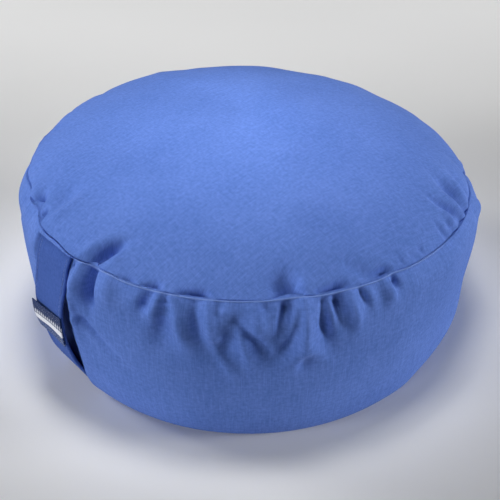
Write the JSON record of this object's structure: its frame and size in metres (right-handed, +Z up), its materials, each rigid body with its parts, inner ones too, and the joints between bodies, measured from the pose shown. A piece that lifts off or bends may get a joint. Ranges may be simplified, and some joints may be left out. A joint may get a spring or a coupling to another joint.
{
  "type": "zafu meditation cushion with carry strap",
  "caption": "Round, filled cotton floor cushion with a domed top, a plain puckered side band and a carry strap sewn into the top and bottom seams.",
  "frame": {"origin": "on the floor, in the middle of the cushion's flat base", "axes": "+Z up, the cushion's shortest way; the carry strap is towards -Y and the strap's width runs along X"},
  "size_m": [0.3202, 0.3406, 0.1533],
  "materials": {
    "cushion_cotton": "matte cotton drill, cornflower blue",
    "strap_cotton": "matte cotton drill, folded double and topstitched",
    "tag_weave": "fine woven tape in stripes: navy, small white diamonds on navy, white, and paler navy"
  },
  "bodies": {
    "root": {"cushion_body": "cushion_cotton", "carry_strap": "strap_cotton", "woven_tag": "tag_weave"}
  },
  "joints": []
}
